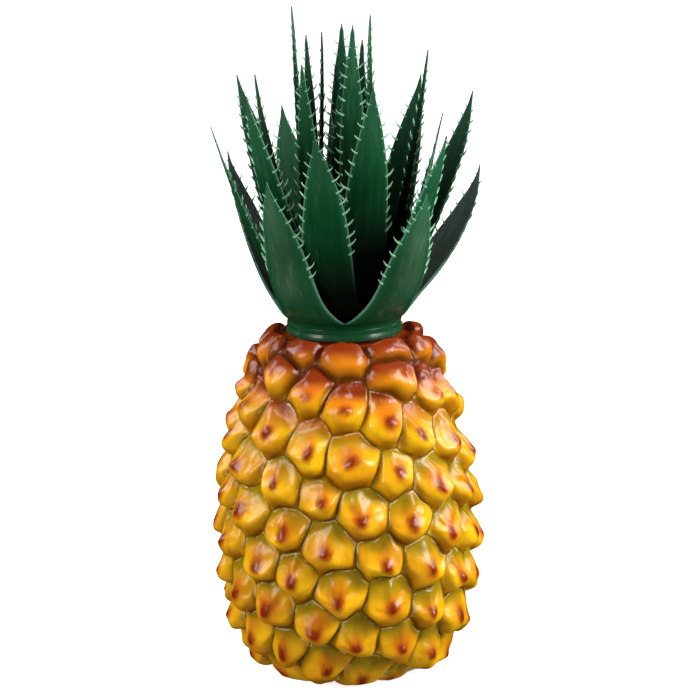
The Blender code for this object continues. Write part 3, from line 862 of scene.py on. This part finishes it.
def leaf_material(name, gloss):
    """Green plastic of outer and inner faces. The whole part of a seed counts whorls, outermost 0."""
    n = Nodes(name)
    across, along, seed = n.attribute("leaf_place")
    side, inner, thorn = n.attribute("leaf_side")
    tone, _, _ = n.attribute("leaf_tone")
    number = n.math("FLOOR", seed)
    off_middle = n.math("ABSOLUTE", side)
    lines = n.vector(n.times(across, 2.2), n.times(along, 0.05), n.times(seed, 60.0))
    stripe = n.noise(1.0, 3.0, 0.55, at=lines)
    cloud = n.noise(90.0, 3.0, 0.5)
    green = n.mix(n.ramp(stripe, 0.25, 0.75), OUTER_DEEP, OUTER_LIGHT)
    green = n.coat(green, n.ramp(cloud, 0.45, 0.75), 0.30, OUTER_CLOUD)
    # thin whitish film on the outermost whorl, partly a painted sheen, and dry scuffs down the middle of
    # every outer face
    outermost = n.minus(1.0, n.math("MINIMUM", number, 1.0))
    film_and_sheen = n.times(n.times(n.ramp(off_middle, 1.0, 0.2), n.ramp(along, 4.0, 22.0)), outermost)
    green = n.coat(green, film_and_sheen, n.plus(0.12, n.times(cloud, 0.40)), OUTER_FILM_SHEEN)
    rubbed = n.vector(n.times(across, 0.35), n.times(along, 0.09), n.times(seed, 90.0))
    scuff = n.times(n.ramp(n.noise(1.0, 4.0, 0.65, at=rubbed), 0.50, 0.72), n.ramp(off_middle, 0.85, 0.3))
    scuff = n.times(scuff, n.ramp(along, 0.0, 9.0))
    green = n.coat(green, scuff, n.plus(0.40, n.times(outermost, 0.30)), OUTER_SCUFF)
    # painted highlight along the margins, and painted sheen towards the tip
    # painted sheen, stronger towards the tip
    pale = n.ramp(tone, 0.62, 1.0)
    # painted highlight on the thin margin line
    margin = n.ramp(off_middle, 0.90, 1.0)
    green = n.coat(green, n.ramp(off_middle, 0.65, 1.0), 0.35, OUTER_EDGE_HIGHLIGHT)
    green = n.coat(green, pale, 0.30, OUTER_TIP_SHEEN)
    green = n.coat(green, margin, 0.90, OUTER_MARGIN_HIGHLIGHT)
    # inner faces carry painted shade and are darker, with a painted grey reflection on the outermost whorl
    dark = n.mix(n.ramp(stripe, 0.3, 0.7), INNER_SHADE_DEEP, INNER_SHADE_LIGHT)
    dark = n.coat(dark, pale, 0.45, INNER_TIP_SHEEN)
    # painted grey reflection on the outermost whorl's inner faces
    painted_reflection = n.times(n.ramp(number, 1.1, 0.0), n.ramp(tone, 0.05, 0.35))
    dark = n.coat(dark, painted_reflection, 0.80, n.mix(n.ramp(stripe, 0.3, 0.7), REFLECTION_GREY_DEEP, REFLECTION_GREY_LIGHT))
    # painted highlight along the inner margins
    dark = n.coat(dark, margin, 0.60, INNER_MARGIN_HIGHLIGHT)
    colour = n.mix(inner, green, dark)
    # painted shade: all but the outermost whorl are almost black towards their foot, inside the crown
    reach = n.minus(tone, n.times(number, 0.12))
    painted_shade = n.times(n.ramp(reach, 0.66, 0.08), n.math("MINIMUM", number, 1.0))
    colour = n.coat(colour, painted_shade, 0.97, LEAF_PAINTED_SHADE)
    colour = n.coat(colour, thorn, n.minus(0.95, n.times(painted_shade, 0.6)), THORN_PALE)
    dull = n.plus(n.times(inner, 0.40), n.times(painted_shade, 0.35))
    roughness = n.plus(n.plus(0.18, n.times(n.noise(300.0, 3.0), 0.12)), dull)
    normal = n.bump(stripe, 0.0005, 0.14)
    normal = n.bump(n.noise(1300.0, 2.0), 0.0001, 0.3, normal)
    return n.finish(colour, roughness, normal, Specular_IOR_Level=gloss)


# ---------------- turned pieces


def turned_piece(name, outline, columns, material, body, slot, node, rim=None):
    """Solid of revolution from a closed outline of (radius, height); rim(azimuth) pushes its outside out."""
    build = Build()
    turns = np.arange(columns) * 360.0 / columns
    ahead = direction(turns)
    for radius, height in outline:
        push = rim(turns) if rim and radius > NECK_RADIUS + 1.0 else np.zeros(columns)
        build.add(level_ring(ahead, radius + push, height))
    build.face(grid_faces(len(outline), columns, wrap=True))
    build.band((len(outline) - 1) * columns, 0, columns)
    place(build.mesh(name, (material,), (), sharp=35.0), body, slot, node)


def span(node):
    """Bottom, top and outer radius of a CAD node, in millimetres."""
    low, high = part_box(node)
    return low[2] / MM, high[2] / MM, high[0] / MM


def rounded(outline, radius=0.25, steps=4):
    """The closed outline with each corner cut by a small arc."""
    points = np.array(outline, float)
    made = []
    for i, corner in enumerate(points):
        before, after = points[i - 1] - corner, points[(i + 1) % len(points)] - corner
        reach = min(radius, 0.45 * np.linalg.norm(before), 0.45 * np.linalg.norm(after))
        a = corner + before / np.linalg.norm(before) * reach
        b = corner + after / np.linalg.norm(after) * reach
        for u in np.linspace(0.0, 1.0, steps):
            made.append(tuple((1 - u)**2 * a + 2 * u * (1 - u) * corner + u * u * b))
    return made


def collar_piece(material):
    bottom, top, flare = span("crown_collar")
    web, flush = bottom + 2.4, top + 0.27
    bore, skirt = POST_RADIUS + CLEARANCE, NECK_RADIUS + CLEARANCE
    outline = [(bore, web), (skirt, web), (skirt, bottom), (flare - 0.65, bottom),
               (flare - 0.35, bottom + 0.35), (flare - 0.5, bottom + 1.3), (flare - 0.8, web),
               (flare - 0.8, flush), (bore, flush)]
    turned_piece("collar_ring", rounded(outline, 0.12), 180, material, "crown", "collar_plastic",
                 "crown_collar", wavy_rim)


def wavy_rim(azimuth):
    """The collar is a little out of round, as moulded soft plastic is."""
    a = np.radians(azimuth)
    return 0.16 * np.sin(3.0 * a + 0.6) + 0.12 * np.sin(7.0 * a) + 0.07 * np.sin(13.0 * a + 1.0)


def post_piece(material):
    bottom, top, _ = span("crown_post")
    flange = bottom + 2.0
    outline = [(0.05, bottom), (POST_FLANGE - 0.5, bottom), (POST_FLANGE, bottom + 0.6),
               (POST_FLANGE, flange), (POST_RADIUS, flange), (POST_RADIUS, top - 0.8),
               (POST_RADIUS - 0.8, top), (0.05, top)]
    turned_piece("post", rounded(outline), 64, material, "crown", "post_plastic", "crown_post")


def stopper_piece(material):
    """The plug with three sealing ribs under its flange."""
    bottom, top, rim = span("stopper")
    flange = top - 1.4
    plug, bore = NECK_BORE - CLEARANCE, POST_RADIUS + CLEARANCE
    waist, hem = plug - 0.2, plug - 1.8
    outline = [(bore, flange - 0.3), (hem, flange - 0.3), (hem, bottom), (plug - 0.6, bottom),
               (waist, bottom + 1.5)]
    for level in np.linspace(bottom + 3.0, flange - 3.0, 3):
        outline += [(waist, level - 0.5), (plug, level), (waist, level + 0.5)]
    outline += [(waist, flange), (rim, flange), (rim, top), (bore, top)]
    turned_piece("neck_plug", rounded(outline, 0.2), 128, material, "stopper", "stopper_plastic", "stopper")


def pellets(material):
    """Moulded beads with a faint seam round the middle and a flat gate mark on top."""
    ahead = direction(np.arange(BEAD_COLUMNS) * 360.0 / BEAD_COLUMNS)
    for name in [s["node"] for s in frame["record"]["subparts"] if s["node"].startswith("pellet_")]:
        low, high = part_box(name)
        centre = np.array((low + high) / 2.0 / MM)
        radius = (high[2] - low[2]) / 2.0 / MM
        build = Build()
        for j in range(1, BEAD_RINGS):
            tilt = math.pi * j / BEAD_RINGS
            seam = BEAD_SEAM * radius * math.exp(-((j - BEAD_RINGS / 2.0) / 0.8)**2)
            r = (radius * (1.0 - BEAD_SEAM) + seam) * math.sin(tilt)
            build.add(centre + level_ring(ahead, r, -radius * math.cos(tilt)))
        build.face(grid_faces(BEAD_RINGS - 1, BEAD_COLUMNS, wrap=True))
        build.fan(0, BEAD_COLUMNS, centre - (0.0, 0.0, radius), turned=True)
        build.fan((BEAD_RINGS - 2) * BEAD_COLUMNS, BEAD_COLUMNS, centre + (0.0, 0.0, radius * BEAD_GATE))
        place(build.mesh(f"bead_{name[-2:]}", (material,), ()), "pellets", "pellet_plastic", name)


# ---------------- stage


def backdrop():
    """A pale floor that curves up into a closed pale studio, seen by the camera only."""
    flat, curve = 2.6, 1.8
    outline = [(0.0, 0.0), (0.4, 0.0), (flat, 0.0)]
    for a in np.linspace(0.1, math.pi / 2.0, 12):
        outline.append((flat + curve * math.sin(a), curve - curve * math.cos(a)))
    outline += [(4.4, 4.0), (3.0, 5.5), (0.0, 6.0)]
    sides = 96
    ahead = direction(np.arange(sides) * 360.0 / sides)
    points = np.vstack([level_ring(ahead, r, z) for r, z in outline])
    mesh = bpy.data.meshes.new("floor")
    mesh.from_pydata(points.tolist(), [], grid_faces(len(outline), sides, 0, wrap=True).tolist())
    mesh.shade_smooth()
    floor = bpy.data.objects.new("floor", mesh)
    bpy.context.scene.collection.objects.link(floor)
    n = Nodes("pale_floor")
    tone = n.mix(n.ramp(n.noise(3.0, 2.0), 0.3, 0.7), (0.90, 0.90, 0.90), (0.92, 0.92, 0.92))
    mesh.materials.append(n.finish(tone, 0.8, Specular_IOR_Level=0.1, Emission_Color=(*WHITE, 1.0),
                                   Emission_Strength=0.80))
    floor.visible_diffuse = False
    floor.visible_glossy = False
    floor.visible_shadow = False


def world_light(above, below):
    """Soft light from all round, stronger from under the horizon, as a lit pale floor throws it up."""
    world = bpy.data.worlds.new("studio")
    world.use_nodes = True
    tree = world.node_tree
    where = tree.nodes.new("ShaderNodeTexCoord")
    parts = tree.nodes.new("ShaderNodeSeparateXYZ")
    blend = tree.nodes.new("ShaderNodeMapRange")
    fill(blend, From_Min=-0.3, From_Max=0.6, To_Min=below, To_Max=above)
    tree.links.new(where.outputs["Generated"], parts.inputs[0])
    tree.links.new(parts.outputs["Z"], blend.inputs["Value"])
    tree.links.new(blend.outputs["Result"], tree.nodes["Background"].inputs["Strength"])
    fill(tree.nodes["Background"], Color=(*WHITE, 1.0))
    bpy.context.scene.world = world
    world.cycles_visibility.glossy = False


def softbox(name, azimuth, elevation, distance, width, height, power, colour, mirrored):
    """A rectangular lamp that faces the middle of the object."""
    light = bpy.data.lights.new(name, "AREA")
    light.shape = "RECTANGLE"
    light.size, light.size_y = width, height
    light.energy = power
    light.color = colour
    lamp = bpy.data.objects.new(name, light)
    a, e = math.radians(azimuth), math.radians(elevation)
    lamp.location = (distance * math.sin(a) * math.cos(e), -distance * math.cos(a) * math.cos(e),
                     LAMP_AIM + distance * math.sin(e))
    lamp.rotation_euler = (math.pi / 2.0 - e, 0.0, a)
    lamp.visible_glossy = mirrored
    bpy.context.scene.collection.objects.link(lamp)


def stage():
    backdrop()
    world_light(SKY_ABOVE, SKY_BELOW)
    for lamp in LAMPS:
        softbox(*lamp)
    scene = bpy.context.scene
    scene.view_settings.view_transform = "Standard"
    camera = bpy.data.objects.new("camera", bpy.data.cameras.new("camera"))
    scene.collection.objects.link(camera)
    scene.camera = camera
    camera.data.lens = LENS
    camera.data.sensor_width = SENSOR
    distance = VIEW_WIDTH / 2.0 / math.tan(math.atan(SENSOR / 2.0 / LENS))
    tilt = math.radians(VIEW_TILT)
    x, y, z = VIEW_AIM
    camera.location = (x, y - distance * math.cos(tilt), z + distance * math.sin(tilt))
    camera.rotation_euler = (math.pi / 2.0 - tilt, 0.0, 0.0)
    camera.rotation_euler.rotate_axis("Z", math.radians(VIEW_ROLL))


def main():
    shell_piece(shell_material("painted_vinyl", 0.34), shell_material("painted_vinyl_crease", 0.05),
                plain_vinyl("vinyl_inside", (0.62, 0.40, 0.09), 0.45))
    cup_face, blade_face = leaf_material("cup_plastic_satin", 0.14), leaf_material("leaf_plastic_satin", 0.07)
    inner_face = leaf_material("leaf_plastic_dull", 0.05)
    for i, whorl in enumerate(WHORLS):
        whorl_piece(i + 1, whorl, (cup_face if i == 0 else blade_face, inner_face))
    collar_piece(plain_vinyl("collar_plastic_satin", (0.0045, 0.050, 0.017), 0.24))
    post_piece(plain_vinyl("post_plastic_dull", (0.010, 0.050, 0.020), 0.5))
    stopper_piece(plain_vinyl("stopper_plastic_dull", (0.60, 0.58, 0.50), 0.42))
    pellets(plain_vinyl("bead_plastic", (0.16, 0.055, 0.018), 0.38, 400.0))
    stage()


main()
